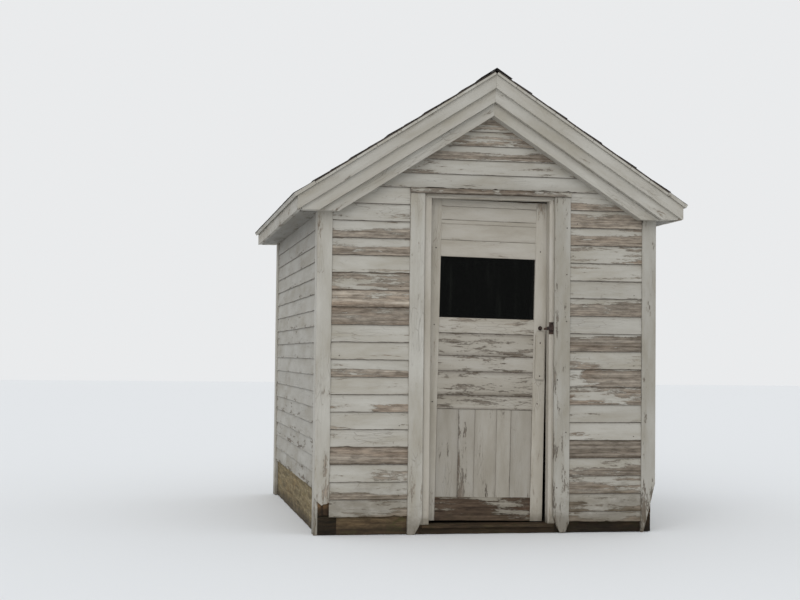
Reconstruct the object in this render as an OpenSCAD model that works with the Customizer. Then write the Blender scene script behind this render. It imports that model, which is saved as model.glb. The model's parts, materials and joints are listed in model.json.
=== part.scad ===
// Wooden outhouse: a small gabled frame building with lap siding, boxed eaves and a panelled door.
// Millimetres. Z is up, the front faces -Y, and the origin is on the ground below the middle.

/* [Wall frame] */
// Width of the stud frame across the front
frame_w = 2030; // [1800:5:2400]
// Depth of the stud frame from front to back
frame_d = 2510; // [2000:5:3000]
// Depth of a stud, which is the thickness of the bare frame
stud_d = 100; // [90:1:120]
// Thickness of a stud, plate or rafter
stud_t = 50; // [40:1:60]
// Height of the sill beams
sill_h = 115; // [100:1:150]
// Height of the taller sill beams under the side walls
side_sill_h = 270; // [265:1:320]
// Width of the sill beams
sill_w = 100; // [90:1:120]
// Width of the post beside the doorway
door_post_w = 100; // [60:1:120]
// Height of the beam over the doorway
header_h = 100; // [80:1:140]

/* [Floor] */
// Height of the floor's upper face above the ground
floor_z = 55; // [45:1:56]
// Thickness of the floor boards
floor_t = 20; // [15:1:30]
// Width of a sleeper under the floor
sleeper_w = 90; // [60:1:120]
// Gap between the floor and the beams round it
floor_gap = 0.3; // [0:0.1:3]

/* [Roof] */
// Slope of the roof in degrees
roof_pitch = 32.8; // [29:0.1:38]
// How far the flat underside of the eaves lies below the top of the door
eave_drop = 107; // [60:1:180]
// Height of the eave fascia at its outer face
fascia_h = 79; // [60:1:110]
// Distance from the stud frame to the outer face of the eave fascia
eave_out = 152; // [110:1:220]
// Distance from the stud frame to the edge of the roof over a gable
rake_out = 149; // [110:1:220]
// How far the roof boards stand out past the fascias
deck_lip = 13; // [5:1:20]
// How far the shingles stand out past the roof boards at the eave
shingle_lip = 15; // [5:1:25]
// Thickness of the roof boards
deck_t = 20; // [15:1:25]
// Thickness of a shingle course at its lower edge
shingle_t = 9; // [6:0.5:15]
// Thickness of a shingle course where the next one covers it
shingle_thin = 3; // [2:0.5:5]
// Length of each shingle course that shows, up the slope
shingle_exposure = 127; // [110:1:180]
// Width of the ridge cap on each slope, measured level
ridge_cap_w = 95; // [60:1:100]
// Thickness of the ridge cap
ridge_cap_t = 4; // [3:0.5:8]
// Clearance between the sloping layers of the roof
slope_fit = 0.1; // [0.05:0.05:0.8]
// Depth of a rafter, square to the slope
rafter_d = 100; // [80:1:120]
// Depth of the notch that seats a rafter on its plate
seat_notch = 25; // [15:1:40]
// Thickness of the ridge board
ridge_board_t = 25; // [20:1:38]
// Thickness of the soffit boards
soffit_t = 15; // [10:1:22]

/* [Trim boards] */
// Thickness of the corner boards, casings and fascias
board_t = 22; // [18:1:28]
// Width of a corner board on the front and rear
corner_w = 88; // [80:1:96]
// Width of a corner board on the side walls
side_corner_w = 92; // [60:1:130]
// Width of the fascia along the gable slopes
rake_fascia_w = 69; // [50:1:90]
// Width of the upper frieze board below the roof boards
upper_frieze_w = 136; // [110:1:150]
// Width of the lower frieze board below the roof boards
lower_frieze_w = 201; // [190:1:215]

/* [Lap siding] */
// Height of the siding's lowest edge on the rear wall and left of the door
siding_z = 106; // [60:1:112]
// Height of the siding's lowest edge right of the door
right_siding_z = 66; // [40:1:112]
// Height of the siding's lowest edge on the side walls
side_siding_z = 262; // [100:1:265]
// Course height on the rear wall and left of the door
front_exposure = 102; // [80:1:130]
// Course height right of the door
right_exposure = 106; // [80:1:130]
// Height of the short lowest course right of the door
right_foot_h = 62; // [20:1:100]
// Course height in the gables
gable_exposure = 84; // [60:1:110]
// Course height on the side walls
side_exposure = 94; // [80:1:130]
// How far the lower edge of a course stands out from the studs
lap_butt = 17; // [12:0.5:21]
// How far a course stands out just below the next one
lap_top = 9; // [6:0.5:11]

/* [Doorway] */
// Height of the threshold's upper face
threshold_z = 57; // [50:1:62]
// Thickness of the threshold
threshold_t = 20; // [15:1:30]
// How far the threshold stands out past the stud frame
threshold_nose = 18; // [5:1:22]
// Thickness of the jamb boards
jamb_t = 20; // [15:1:25]
// How far the stop on the latch side stands in from the jamb
stop_w = 22; // [10:1:25]
// How far the stop on the hinge side stands in from the jamb
hinge_stop_w = 38; // [26:1:45]
// How far the stop at the head stands down from the jamb
head_stop_w = 10; // [5:1:20]
// Width of the door casing on the hinge side
casing_w = 88; // [70:1:110]
// Width of the door casing on the latch side
latch_casing_w = 98; // [70:1:110]
// Strip of the jamb left showing beside a casing
casing_reveal = 6; // [3:1:12]
// Strip of the head jamb left showing below the drip board
head_reveal = 14; // [5:1:18]
// Height of the drip board over the door
drip_h = 32; // [20:1:45]
// How far the drip board stands out from the studs
drip_out = 34; // [24:1:50]

/* [Door] */
// Width of the door leaf
door_w = 741; // [680:1:800]
// Height of the door leaf
door_h = 1918; // [1850:1:1990]
// Thickness of the door leaf
door_t = 35; // [28:1:45]
// Gap between the foot of the door leaf and the jamb on the hinge side
door_gap = 7; // [7:0.5:12]
// Gap between the head of the door leaf and the jamb on the latch side
latch_gap = 8; // [7:0.5:25]
// Gap below and above the door leaf, and between it and its stops
door_lift = 6; // [6:0.5:10]
// Angle in degrees that the old door has sagged on its hinges
door_sag = 0.9; // [0:0.1:1.5]
// Clearance between the pieces of the door
door_fit = 0.1; // [0.05:0.05:0.8]
// Width of the stile that carries the hinges
hinge_stile_w = 79; // [70:1:110]
// Width of the stile that carries the latch
latch_stile_w = 76; // [60:1:100]
// Height of the top rail
top_rail_h = 41; // [35:1:70]
// Height of the upper boarded panel
upper_panel_h = 205; // [150:1:260]
// Height of the rail above the window
window_rail_h = 98; // [70:1:120]
// Height of the window
window_h = 365; // [280:1:420]
// Height of the rail below the window
apron_rail_h = 91; // [70:1:120]
// Height of the lock rail
lock_rail_h = 83; // [70:1:120]
// Height of the lower boarded panel
lower_panel_h = 522; // [440:1:560]
// Height of the bottom rail
bottom_rail_h = 140; // [110:1:170]
// Thickness of the boards in the panels
panel_t = 22; // [15:1:24]
// How far the panel boards lie behind the face of the stiles
panel_sink = 4; // [2:0.5:6]
// Width of the grooves between panel boards
groove_w = 4; // [2:0.5:6]
// Depth of the grooves between panel boards
groove_d = 4; // [2:0.5:8]
// Thickness of the window glass
glass_t = 4; // [3:0.5:6]
// Side of the beads that hold the window glass
bead_w = 12; // [8:1:14]

/* [Ironwork] */
// Radius of the hinge pins
pin_r = 4; // [3:0.5:5]
// Running clearance between a pin and its knuckle
pin_clear = 0.05; // [0.02:0.01:0.1]
// Outer radius of a hinge knuckle
knuckle_r = 7; // [6.5:0.5:8]
// Height of a hinge at its knuckles
hinge_h = 60; // [45:1:80]
// Gap between neighbouring knuckles
knuckle_gap = 1; // [0.5:0.1:2]
// Thickness of the hinge plates
plate_t = 3; // [2:0.5:4]
// Length of a hinge strap on the door
strap_l = 230; // [120:5:320]
// Length of a hinge plate on the door post
leaf_l = 62; // [40:1:90]
// Height of the latch above the foot of the door
latch_z = 1160; // [900:1:1300]
// Radius of the latch's round plate
latch_r = 13; // [10:1:18]
// Radius of the latch's knob
knob_r = 8; // [6:1:12]
// How far the knob stands out from the door
knob_l = 22; // [15:1:35]
// Height of the keeper beside the latch
keeper_h = 72; // [40:1:100]
// How far the keeper's catch stands out from the stop
catch_l = 12; // [6:1:16]
// How far the keeper's hook reaches past the edge of the stop
hook_l = 34; // [10:1:50]
// Length of the patch block on the latch stile
patch_l = 290; // [200:5:320]
// Width of the patch block
patch_w = 56; // [40:1:60]
// Thickness of the patch block
patch_t = 12; // [8:1:18]

/* [Decay] */
// Height to which the front left corner board has rotted away
rot_h = 190; // [0:5:300]
// Drop of the rotted edge across the board
rot_slope = 22; // [0:1:60]
// Height of the break in the foot of the front right corner board
break_h = 290; // [0:5:400]
// Width of that break at the ground
break_w = 72; // [0:1:80]

/* [Hidden] */

$fn = 48;

paint = [0.66, 0.64, 0.60];
worn_paint = [0.58, 0.55, 0.50];
grey_wood = [0.45, 0.41, 0.36];
raw_wood = [0.62, 0.50, 0.36];
dark_wood = [0.25, 0.21, 0.16];
shingle_grey = [0.22, 0.21, 0.21];
rust = [0.25, 0.15, 0.10];
dark_glass = [0.08, 0.09, 0.08];

half_w = frame_w / 2;
half_d = frame_d / 2;
front_y = -half_d;
inner_x = half_w - stud_d;

door_z = threshold_z + door_lift + (door_w + door_gap) * sin(door_sag);
door_top = door_z + door_h;
eave_z = door_top - eave_drop;

// Roof planes lie a square distance below the upper face of the shingles.
slope = tan(roof_pitch);
cos_pitch = cos(roof_pitch);
deck_top = shingle_t + slope_fit;
deck_bottom = deck_top + deck_t;
under_deck = deck_bottom + slope_fit;
rafter_bottom = under_deck + rafter_d;
stud_head = rafter_bottom + slope_fit;
fascia_x = half_w + eave_out;
fascia_in = fascia_x - board_t;
deck_x = fascia_x + deck_lip;
shingle_x = deck_x + shingle_lip;
ridge_z = eave_z + fascia_h + under_deck / cos_pitch + slope * fascia_x;

// Height of a roof plane at a distance from the ridge line
function roof_z(depth, x) = ridge_z - depth / cos_pitch - slope * abs(x);
// Distance from the ridge line at which a roof plane comes down to a height
function roof_x(depth, z) = (ridge_z - depth / cos_pitch - z) / slope;

plate_top = roof_z(rafter_bottom, half_w) + seat_notch;
plate_z = plate_top - stud_t;
ridge_board_z = roof_z(stud_head, stud_t / 2);
rake_y = half_d + rake_out;
rake_fascia_y = rake_y - deck_lip;
rake_bottom = under_deck + rake_fascia_w;
upper_frieze_bottom = under_deck + upper_frieze_w;
lower_frieze_bottom = under_deck + lower_frieze_w;
siding_head = lower_frieze_bottom + slope_fit;
corner_x = half_w + board_t;
field_x = corner_x - corner_w;

// The doorway, outwards from the leaf, with room for the way its head leans as it sags
jamb_x = (door_w + door_h * sin(door_sag) + door_gap + latch_gap) / 2;
leaf_left = -jamb_x + door_gap;
leaf_right = leaf_left + door_w;
jamb_out = jamb_x + jamb_t;
casing_x = jamb_x + casing_reveal;
casing_out = casing_x + casing_w;
latch_casing_out = casing_x + latch_casing_w;
head_z = door_top + door_lift;
head_top = head_z + jamb_t;
header_top = head_top + header_h;
casing_top = head_z + head_reveal;
drip_top = casing_top + drip_h;
inner_y = front_y + stud_d;
door_y = inner_y - door_t;
stop_y = door_y - door_lift;

// Heights in the leaf, upwards from its foot
lower_panel_z = door_z + bottom_rail_h;
lock_rail_z = lower_panel_z + lower_panel_h;
middle_panel_z = lock_rail_z + lock_rail_h;
window_z = door_top - top_rail_h - upper_panel_h - window_rail_h - window_h;
apron_z = window_z - apron_rail_h;
window_top = window_z + window_h;
upper_panel_z = window_top + window_rail_h;
top_rail_z = upper_panel_z + upper_panel_h;
panel_left = leaf_left + hinge_stile_w;
panel_right = leaf_right - latch_stile_w;

// The hinges are on the bottom rail, the lock rail and the rail above the window.
pin_x = leaf_left - door_gap / 2;
pin_y = inner_y + knuckle_r + 1;
hinge_zs = [
    (door_z + lower_panel_z) / 2, (lock_rail_z + middle_panel_z) / 2, (window_top + upper_panel_z) / 2
];

module block(x0, x1, y0, y1, z0, z1) {
    translate([x0, y0, z0]) cube([x1 - x0, y1 - y0, z1 - z0]);
}

module both_sides() {
    children();
    mirror([1, 0, 0]) children();
}

module both_ends() {
    children();
    mirror([0, 1, 0]) children();
}

// Leans what the hinges carry about the middle of the lowest hinge
module sagging() {
    translate([pin_x, 0, hinge_zs[0]]) rotate([0, door_sag, 0])
        translate([-pin_x, 0, -hinge_zs[0]]) children();
}

// Extrudes an outline drawn in X and Z along Y, from y0 to y1
module along_y(y0, y1) {
    translate([0, y1, 0]) rotate([90, 0, 0]) linear_extrude(y1 - y0) children();
}

// Extrudes an outline drawn in Y and Z along X, from x0 to x1
module along_x(x0, x1) {
    translate([x0, 0, 0]) rotate([90, 0, 90]) linear_extrude(x1 - x0) children();
}

// Upright stud whose head follows the underside of the rafters
module gable_stud(x, width, z0, y0, y1) {
    along_y(y0, y1) polygon([
        [x - width / 2, z0], [x + width / 2, z0],
        [x + width / 2, roof_z(stud_head, x + width / 2)],
        [x - width / 2, roof_z(stud_head, x - width / 2)]
    ]);
}

// Outline of a board that follows both slopes and is cut plumb at the eaves and level at the soffits
function slope_board(top, bottom, x_end) =
    let (x_cut = roof_x(bottom, eave_z))
    let (right = x_cut < x_end
        ? [[x_end, roof_z(top, x_end)], [x_end, eave_z], [x_cut, eave_z]]
        : [[x_end, roof_z(top, x_end)], [x_end, roof_z(bottom, x_end)]])
    let (last = len(right) - 1)
    concat(
        [[0, roof_z(top, 0)]], right, [[0, roof_z(bottom, 0)]],
        [for (i = [last:-1:0]) [-right[i][0], right[i][1]]]
    );

// Section of lap siding against a wall face at 0, standing out towards negative values.
// A foot height above 0 gives a lowest course of its own height.
function lap_section(z0, z1, exposure, foot_h = 0) =
    let (start = z0 + foot_h)
    let (count = max(1, round((z1 - start) / exposure)))
    let (step = (z1 - start) / count)
    concat(
        [[0, z1], [0, z0]],
        foot_h > 0 ? [[-lap_butt, z0], [-lap_top, start]] : [],
        [for (i = [0:count - 1]) each [[-lap_butt, start + i * step], [-lap_top, start + (i + 1) * step]]]
    );

module siding_along_x(x0, x1, z0, z1, exposure, foot_h = 0) {
    translate([0, front_y, 0]) along_x(x0, x1) polygon(lap_section(z0, z1, exposure, foot_h));
}

// Siding on the front wall from a casing to the corner board, drawn on the right
module siding_beside_door(from_x, z0, exposure, foot_h = 0) {
    color(worn_paint) intersection() {
        siding_along_x(from_x, field_x, z0, drip_top, exposure, foot_h);
        along_y(front_y - board_t, front_y + 1) polygon([
            [from_x, 0], [field_x, 0], [field_x, eave_z],
            [roof_x(siding_head, eave_z), eave_z], [from_x, roof_z(siding_head, from_x)]
        ]);
    }
}

module siding_on_left() {
    translate([-half_w, 0, 0])
        along_y(front_y + side_corner_w, -front_y - side_corner_w)
            polygon(lap_section(side_siding_z, eave_z, side_exposure));
}

// Section of one slope of shingles, built up from the eave in overlapping courses
function shingle_section() =
    let (count = round(shingle_x / (shingle_exposure * cos_pitch)))
    let (step = shingle_x / count)
    concat(
        [[0, roof_z(shingle_t, 0)], [shingle_x, roof_z(shingle_t, shingle_x)]],
        [for (i = [0:count - 2])
            let (low = shingle_x - i * step)
            let (high = low - step)
            each [[low, roof_z(0, low)], [high, roof_z(shingle_t - shingle_thin, high)]]],
        [[step, roof_z(0, step)], [0, roof_z(0, 0)]]
    );

module end_sills() {
    color(dark_wood) {
        difference() {
            block(-half_w, half_w, front_y, front_y + sill_w, 0, sill_h);
            block(-jamb_out, jamb_out, front_y - 1, front_y + sill_w + 1,
                threshold_z - threshold_t, sill_h + 1);
        }
        block(-half_w, half_w, -front_y - sill_w, -front_y, 0, sill_h);
    }
}

module side_sills() {
    color(dark_wood) both_sides()
        block(half_w - sill_w, half_w, front_y + sill_w, -front_y - sill_w, 0, side_sill_h);
}

sleeper_count = 4;
module floor_sleepers() {
    span = frame_w - 2 * sill_w - 2 * floor_gap - sleeper_w;
    color(grey_wood) for (i = [0:sleeper_count - 1]) {
        x = -span / 2 + i * span / (sleeper_count - 1);
        block(x - sleeper_w / 2, x + sleeper_w / 2,
            front_y + sill_w + floor_gap, -front_y - sill_w - floor_gap, 0, floor_z - floor_t);
    }
}

module floor() {
    side = half_w - sill_w - floor_gap;
    end = half_d - sill_w - floor_gap;
    color(grey_wood) block(-side, side, -end, end, floor_z - floor_t, floor_z);
}

module corner_posts() {
    color(raw_wood) both_ends() both_sides()
        block(inner_x, half_w, front_y, inner_y, sill_h, plate_z);
}

module front_studs() {
    color(raw_wood) {
        both_sides() gable_stud(jamb_out + door_post_w / 2, door_post_w, sill_h, front_y, inner_y);
        block(-stud_t / 2, stud_t / 2, front_y, inner_y, header_top, ridge_board_z);
    }
}

module rear_studs() {
    color(raw_wood) {
        for (x = [-half_w / 2, 0, half_w / 2])
            block(x - stud_t / 2, x + stud_t / 2, -inner_y, -front_y, sill_h, plate_z);
        for (x = [-half_w / 2, half_w / 2])
            gable_stud(x, stud_t, plate_top, -inner_y, -front_y);
        block(-stud_t / 2, stud_t / 2, -inner_y, -front_y, plate_top, ridge_board_z);
    }
}

module side_studs() {
    color(raw_wood) both_sides() for (y = [-half_d / 2, 0, half_d / 2])
        block(inner_x, half_w, y - stud_t / 2, y + stud_t / 2, side_sill_h, plate_z);
}

module end_plates() {
    color(raw_wood) {
        both_sides() block(jamb_out + door_post_w, inner_x, front_y, inner_y, plate_z, plate_top);
        block(-jamb_out, jamb_out, front_y, inner_y, head_top, header_top);
        block(-inner_x, inner_x, -inner_y, -front_y, plate_z, plate_top);
    }
}

module side_plates() {
    color(raw_wood) both_sides()
        block(inner_x, half_w, front_y, -front_y, plate_z, plate_top);
}

module rafters() {
    seat_x = roof_x(rafter_bottom, plate_top);
    tail_z = eave_z + soffit_t;
    ridge_x = ridge_board_t / 2;
    outline = [
        [ridge_x + slope_fit, roof_z(under_deck, ridge_x)],
        [fascia_in, roof_z(under_deck, fascia_in)],
        [fascia_in, tail_z],
        [roof_x(rafter_bottom, tail_z), tail_z],
        [half_w, roof_z(rafter_bottom, half_w)],
        [half_w, plate_top],
        [seat_x, plate_top],
        [ridge_x + slope_fit, roof_z(rafter_bottom, ridge_x)]
    ];
    middles = [front_y + stud_t / 2, front_y / 2, 0, -front_y / 2, -front_y - stud_t / 2];
    color(raw_wood) both_sides() for (y = middles)
        along_y(y - stud_t / 2, y + stud_t / 2) polygon(outline);
}

module ridge_board() {
    ridge_x = ridge_board_t / 2;
    color(raw_wood) block(-ridge_x, ridge_x, front_y, -front_y,
        ridge_board_z, roof_z(under_deck, ridge_x));
}

module roof_boards_right() {
    color(grey_wood) along_y(-rake_y, rake_y) polygon([
        [0, roof_z(deck_top, 0)], [deck_x, roof_z(deck_top, deck_x)],
        [deck_x, roof_z(deck_bottom, deck_x)], [0, roof_z(deck_bottom, 0)]
    ]);
}

module roof_boards_left() {
    mirror([1, 0, 0]) roof_boards_right();
}

module shingles_right() {
    color(shingle_grey) along_y(-rake_y, rake_y) polygon(shingle_section());
}

module shingles_left() {
    mirror([1, 0, 0]) shingles_right();
}

module ridge_cap() {
    under = -slope_fit;
    over = under - ridge_cap_t;
    color(shingle_grey) along_y(-rake_y, rake_y) polygon([
        [0, roof_z(over, 0)], [ridge_cap_w, roof_z(over, ridge_cap_w)],
        [ridge_cap_w, roof_z(under, ridge_cap_w)], [0, roof_z(under, 0)],
        [-ridge_cap_w, roof_z(under, ridge_cap_w)], [-ridge_cap_w, roof_z(over, ridge_cap_w)]
    ]);
}

module eave_fascias() {
    end_y = rake_fascia_y - board_t;
    color(paint) both_sides() along_y(-end_y, end_y) polygon([
        [fascia_in, eave_z], [fascia_x, eave_z],
        [fascia_x, roof_z(under_deck, fascia_x)], [fascia_in, roof_z(under_deck, fascia_in)]
    ]);
}

module eave_soffits() {
    color(paint) both_sides()
        block(half_w, fascia_in, front_y, -front_y, eave_z, eave_z + soffit_t);
}

module front_rake_fascia() {
    color(paint) along_y(-rake_fascia_y, -rake_fascia_y + board_t)
        polygon(slope_board(under_deck, rake_bottom, fascia_x));
}

module rear_rake_fascia() {
    mirror([0, 1, 0]) front_rake_fascia();
}

module front_frieze() {
    color(paint) {
        along_y(front_y - board_t, front_y)
            polygon(slope_board(under_deck, lower_frieze_bottom, fascia_in));
        along_y(front_y - 2 * board_t, front_y - board_t)
            polygon(slope_board(under_deck, upper_frieze_bottom, fascia_in));
    }
}

module rear_frieze() {
    mirror([0, 1, 0]) front_frieze();
}

// Two boards that lap at a corner: the front one, drawn as an outline, and the side one, which starts at z0
module corner_boards(outline, z0) {
    along_y(front_y - board_t, front_y) polygon(outline);
    block(half_w, corner_x, front_y, front_y + side_corner_w, z0, eave_z);
}

module front_corner_boards() {
    color(paint) {
        mirror([1, 0, 0]) corner_boards([
            [field_x, rot_h], [(field_x + corner_x) / 2, rot_h - rot_slope], [corner_x, rot_h + rot_slope],
            [corner_x, eave_z], [field_x, eave_z]
        ], 0);
        corner_boards([
            [field_x, 0], [corner_x - break_w, 0], [corner_x, break_h],
            [corner_x, eave_z], [field_x, eave_z]
        ], break_h);
    }
}

module rear_corner_boards() {
    color(paint) mirror([0, 1, 0]) both_sides() corner_boards([
        [field_x, 0], [corner_x, 0], [corner_x, eave_z], [field_x, eave_z]
    ], 0);
}

module front_siding_left() {
    mirror([1, 0, 0]) siding_beside_door(casing_out, siding_z, front_exposure);
}

module front_siding_right() {
    siding_beside_door(latch_casing_out, right_siding_z, right_exposure, right_foot_h);
}

module front_gable_siding() {
    peak = roof_z(siding_head, 0);
    reach = roof_x(siding_head, drip_top);
    color(worn_paint) intersection() {
        siding_along_x(-reach, reach, drip_top, peak, gable_exposure);
        along_y(front_y - board_t, front_y + 1)
            polygon([[-reach, drip_top], [reach, drip_top], [0, peak]]);
    }
}

module rear_siding() {
    reach = roof_x(siding_head, eave_z);
    peak = roof_z(siding_head, 0);
    color(worn_paint) mirror([0, 1, 0]) intersection() {
        siding_along_x(-field_x, field_x, siding_z, peak, front_exposure);
        along_y(front_y - board_t, front_y + 1) polygon([
            [-field_x, 0], [field_x, 0], [field_x, eave_z], [reach, eave_z],
            [0, peak], [-reach, eave_z], [-field_x, eave_z]
        ]);
    }
}

module left_siding() {
    color(worn_paint) siding_on_left();
}

module right_siding() {
    color(worn_paint) mirror([1, 0, 0]) siding_on_left();
}

module door_casings() {
    color(paint) {
        block(-casing_out, -casing_x, front_y - board_t, front_y, 0, casing_top);
        block(casing_x, latch_casing_out, front_y - board_t, front_y, 0, casing_top);
    }
}

module drip_board() {
    color(grey_wood)
        block(-casing_out, latch_casing_out, front_y - drip_out, front_y, casing_top, drip_top);
}

module door_jambs() {
    color(paint) {
        both_sides() block(jamb_x, jamb_out, front_y, inner_y, threshold_z, head_top);
        block(jamb_x - stop_w, jamb_x, front_y, stop_y, threshold_z, head_z);
        block(-jamb_x, -jamb_x + hinge_stop_w, front_y, stop_y, threshold_z, head_z);
        block(-jamb_x, jamb_x, front_y, inner_y, head_z, head_top);
        block(-jamb_x + hinge_stop_w, jamb_x - stop_w, front_y, stop_y, head_z - head_stop_w, head_z);
    }
}

module threshold() {
    color(grey_wood) {
        block(-jamb_out, jamb_out, front_y, front_y + sill_w, threshold_z - threshold_t, threshold_z);
        block(-casing_x, casing_x, front_y - threshold_nose, front_y,
            threshold_z - threshold_t, threshold_z);
    }
}

// One third of a hinge's height, less the gaps between its knuckles
knuckle_h = (hinge_h - 2 * knuckle_gap) / 3;

module hinge_leaves() {
    color(rust) sagging() for (z = hinge_zs) {
        translate([pin_x, pin_y, z - hinge_h / 2]) cylinder(h = hinge_h, r = pin_r);
        for (side = [-1, 1]) {
            low = side < 0 ? z - hinge_h / 2 : z + hinge_h / 2 - knuckle_h;
            translate([pin_x, pin_y, low]) cylinder(h = knuckle_h, r = knuckle_r);
            block(pin_x - leaf_l, pin_x, inner_y, inner_y + plate_t, low, low + knuckle_h);
        }
        block(pin_x - leaf_l, pin_x - knuckle_r - knuckle_gap, inner_y, inner_y + plate_t,
            z - hinge_h / 2, z + hinge_h / 2);
    }
}

module door_straps() {
    color(rust) sagging() for (z = hinge_zs) difference() {
        union() {
            translate([pin_x, pin_y, z - knuckle_h / 2]) cylinder(h = knuckle_h, r = knuckle_r);
            block(pin_x, leaf_left + 2 * knuckle_r, inner_y, inner_y + plate_t,
                z - knuckle_h / 2, z + knuckle_h / 2);
            along_y(inner_y, inner_y + plate_t) polygon([
                [leaf_left + knuckle_r, z - hinge_h / 2], [leaf_left + strap_l, z - hinge_h / 6],
                [leaf_left + strap_l, z + hinge_h / 6], [leaf_left + knuckle_r, z + hinge_h / 2]
            ]);
        }
        translate([pin_x, pin_y, z - hinge_h]) cylinder(h = 2 * hinge_h, r = pin_r + pin_clear);
    }
}

module door_stiles() {
    color(paint) sagging() {
        block(leaf_left, panel_left, door_y, inner_y, door_z, door_top);
        block(panel_right, leaf_right, door_y, inner_y, door_z, door_top);
    }
}

module door_rails() {
    color(paint) sagging() for (span = [
        [door_z, lower_panel_z], [lock_rail_z, middle_panel_z], [apron_z, window_z],
        [window_top, upper_panel_z], [top_rail_z, door_top]
    ]) block(panel_left + door_fit, panel_right - door_fit, door_y, inner_y, span[0], span[1]);
}

// Boards between two rails, with grooves at given shares of the way up or across
module board_panel(z0, z1, level_joints, upright_joints) {
    face = door_y + panel_sink;
    left = panel_left + door_fit;
    right = panel_right - door_fit;
    low = z0 + door_fit;
    high = z1 - door_fit;
    difference() {
        block(left, right, face, face + panel_t, low, high);
        for (share = level_joints) {
            z = low + share * (high - low);
            block(left - 1, right + 1, face - 1, face + groove_d, z - groove_w / 2, z + groove_w / 2);
        }
        for (share = upright_joints) {
            x = left + share * (right - left);
            block(x - groove_w / 2, x + groove_w / 2, face - 1, face + groove_d, low - 1, high + 1);
        }
    }
}

module door_panels() {
    color(worn_paint) sagging() {
        board_panel(upper_panel_z, top_rail_z, [0.48, 0.6], []);
        board_panel(middle_panel_z, apron_z, [0.386, 0.632], []);
        board_panel(lower_panel_z, lock_rail_z, [], [0.23, 0.4, 0.63, 0.78]);
    }
}

glass_y = (door_y + inner_y - glass_t) / 2;
module door_window() {
    color(dark_glass) sagging() block(panel_left + door_fit, panel_right - door_fit,
        glass_y, glass_y + glass_t, window_z + door_fit, window_top - door_fit);
}

// Square beads round the inside of the glass
module window_beads() {
    left = panel_left + door_fit;
    right = panel_right - door_fit;
    low = window_z + door_fit;
    high = window_top - door_fit;
    y0 = glass_y + glass_t;
    color(worn_paint) sagging() difference() {
        block(left, right, y0, y0 + bead_w, low, high);
        block(left + bead_w, right - bead_w, y0 - 1, y0 + bead_w + 1, low + bead_w, high - bead_w);
    }
}

latch_x = leaf_right - latch_stile_w / 2;
module door_latch() {
    color(rust) sagging() translate([latch_x, door_y, door_z + latch_z]) rotate([90, 0, 0]) {
        cylinder(h = plate_t, r = latch_r);
        cylinder(h = knob_l, r = knob_r);
    }
}

// Bent iron keeper on the face of the stop, level with the sagging latch, with a catch and a hook
module latch_keeper() {
    z = door_z + latch_z - (latch_x - pin_x) * sin(door_sag);
    color(rust) {
        block(jamb_x - stop_w, casing_x, front_y - plate_t, front_y, z - keeper_h / 2, z + keeper_h / 2);
        block(jamb_x - stop_w, casing_x - plate_t, front_y - catch_l, front_y,
            z - keeper_h / 6, z + keeper_h / 6);
        along_y(front_y - catch_l, front_y - catch_l + 2 * plate_t) polygon([
            [jamb_x - stop_w - hook_l, z - keeper_h / 6], [jamb_x - stop_w, z - keeper_h / 6],
            [jamb_x - stop_w, z + keeper_h / 6], [jamb_x - stop_w - hook_l, z]
        ]);
    }
}

// Block nailed over the worn place below the latch, with a rounded head
module door_patch() {
    arch_r = patch_w / 2;
    top = door_z + latch_z - latch_r - door_lift;
    color(worn_paint) sagging() {
        block(latch_x - arch_r, latch_x + arch_r, door_y - patch_t, door_y, top - patch_l, top - arch_r);
        translate([latch_x, door_y, top - arch_r]) rotate([90, 0, 0]) cylinder(h = patch_t, r = arch_r);
    }
}

end_sills();
side_sills();
floor_sleepers();
floor();
corner_posts();
front_studs();
rear_studs();
side_studs();
end_plates();
side_plates();
rafters();
ridge_board();
roof_boards_left();
roof_boards_right();
shingles_left();
shingles_right();
ridge_cap();
eave_fascias();
eave_soffits();
front_rake_fascia();
rear_rake_fascia();
front_frieze();
rear_frieze();
front_corner_boards();
rear_corner_boards();
front_siding_left();
front_siding_right();
front_gable_siding();
rear_siding();
left_siding();
right_siding();
door_casings();
drip_board();
door_jambs();
threshold();
hinge_leaves();
latch_keeper();
door_stiles();
door_rails();
door_panels();
door_window();
window_beads();
door_straps();
door_latch();
door_patch();
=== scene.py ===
"""Looks of the wooden outhouse: weathered boards, peeling paint, shingles, rusty iron and a studio."""
import json
import math

import bmesh
import bpy
import numpy as np
from mathutils import Matrix, Vector, noise


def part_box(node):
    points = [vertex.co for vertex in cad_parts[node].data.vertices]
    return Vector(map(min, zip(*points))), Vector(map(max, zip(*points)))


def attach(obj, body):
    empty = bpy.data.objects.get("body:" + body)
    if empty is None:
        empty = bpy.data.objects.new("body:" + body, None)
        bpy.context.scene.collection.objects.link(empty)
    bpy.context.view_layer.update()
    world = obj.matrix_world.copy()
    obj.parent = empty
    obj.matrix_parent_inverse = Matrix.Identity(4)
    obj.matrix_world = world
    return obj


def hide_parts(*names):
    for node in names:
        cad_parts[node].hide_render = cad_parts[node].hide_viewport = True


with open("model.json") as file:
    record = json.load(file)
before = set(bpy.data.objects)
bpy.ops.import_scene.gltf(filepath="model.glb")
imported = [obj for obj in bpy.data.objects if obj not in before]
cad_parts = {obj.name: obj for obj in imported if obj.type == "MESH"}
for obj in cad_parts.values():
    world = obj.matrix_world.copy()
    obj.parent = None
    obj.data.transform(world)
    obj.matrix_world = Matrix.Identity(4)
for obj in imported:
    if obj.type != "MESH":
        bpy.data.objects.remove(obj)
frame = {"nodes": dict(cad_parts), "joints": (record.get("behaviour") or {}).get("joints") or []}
scene = bpy.context.scene
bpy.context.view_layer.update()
rng = np.random.default_rng(23)
X, Y, Z = Vector((1, 0, 0)), Vector((0, 1, 0)), Vector((0, 0, 1))


def new_object(name, data):
    thing = bpy.data.objects.new(name, data)
    scene.collection.objects.link(thing)
    return thing


# Camera, floor and light

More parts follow.
